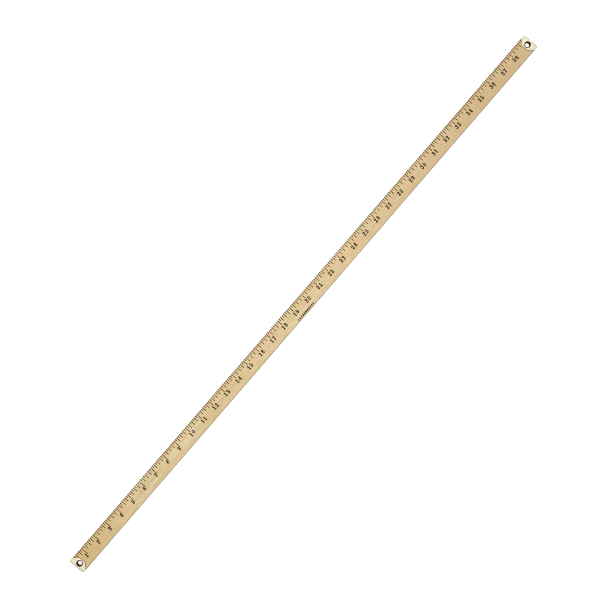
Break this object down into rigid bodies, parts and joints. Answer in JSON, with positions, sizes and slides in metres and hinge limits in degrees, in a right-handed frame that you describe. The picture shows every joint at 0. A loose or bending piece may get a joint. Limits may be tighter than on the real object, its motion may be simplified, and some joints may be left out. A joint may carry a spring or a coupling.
{
  "type": "wooden metre stick",
  "caption": "Flat lacquered wooden measuring stick with brass end caps, an eyeletted hang hole at each end, a printed inch scale on the front and a metric scale on the back.",
  "frame": {"origin": "centre of the outer face of the zero end's brass cap, at half the thickness of the blade, so that X is the reading along both scales", "axes": "+X along the scales from the zero end to the far end; +Y out of the edge where the inch graduations start; +Z out of the inch face"},
  "size_m": [1, 0.026, 0.0078],
  "materials": {
    "wood": "clear lacquered pale hardwood, satin, straight fine grain along the length",
    "brass": "thin pale bright brass sheet, softly brushed",
    "eyelet_brass": "brass with a bright flange and a dark oxidised throat",
    "ink": "dark brown printing ink under the lacquer"
  },
  "bodies": {
    "root": {"wooden_blade": "wood", "zero_end_cap": "brass", "far_end_cap": "brass", "zero_end_eyelet": "eyelet_brass", "far_end_eyelet": "eyelet_brass", "inch_ticks": "ink", "inch_numerals": "ink", "centre_ornament": "ink", "metric_ticks": "ink", "metric_numerals": "ink"}
  },
  "joints": []
}
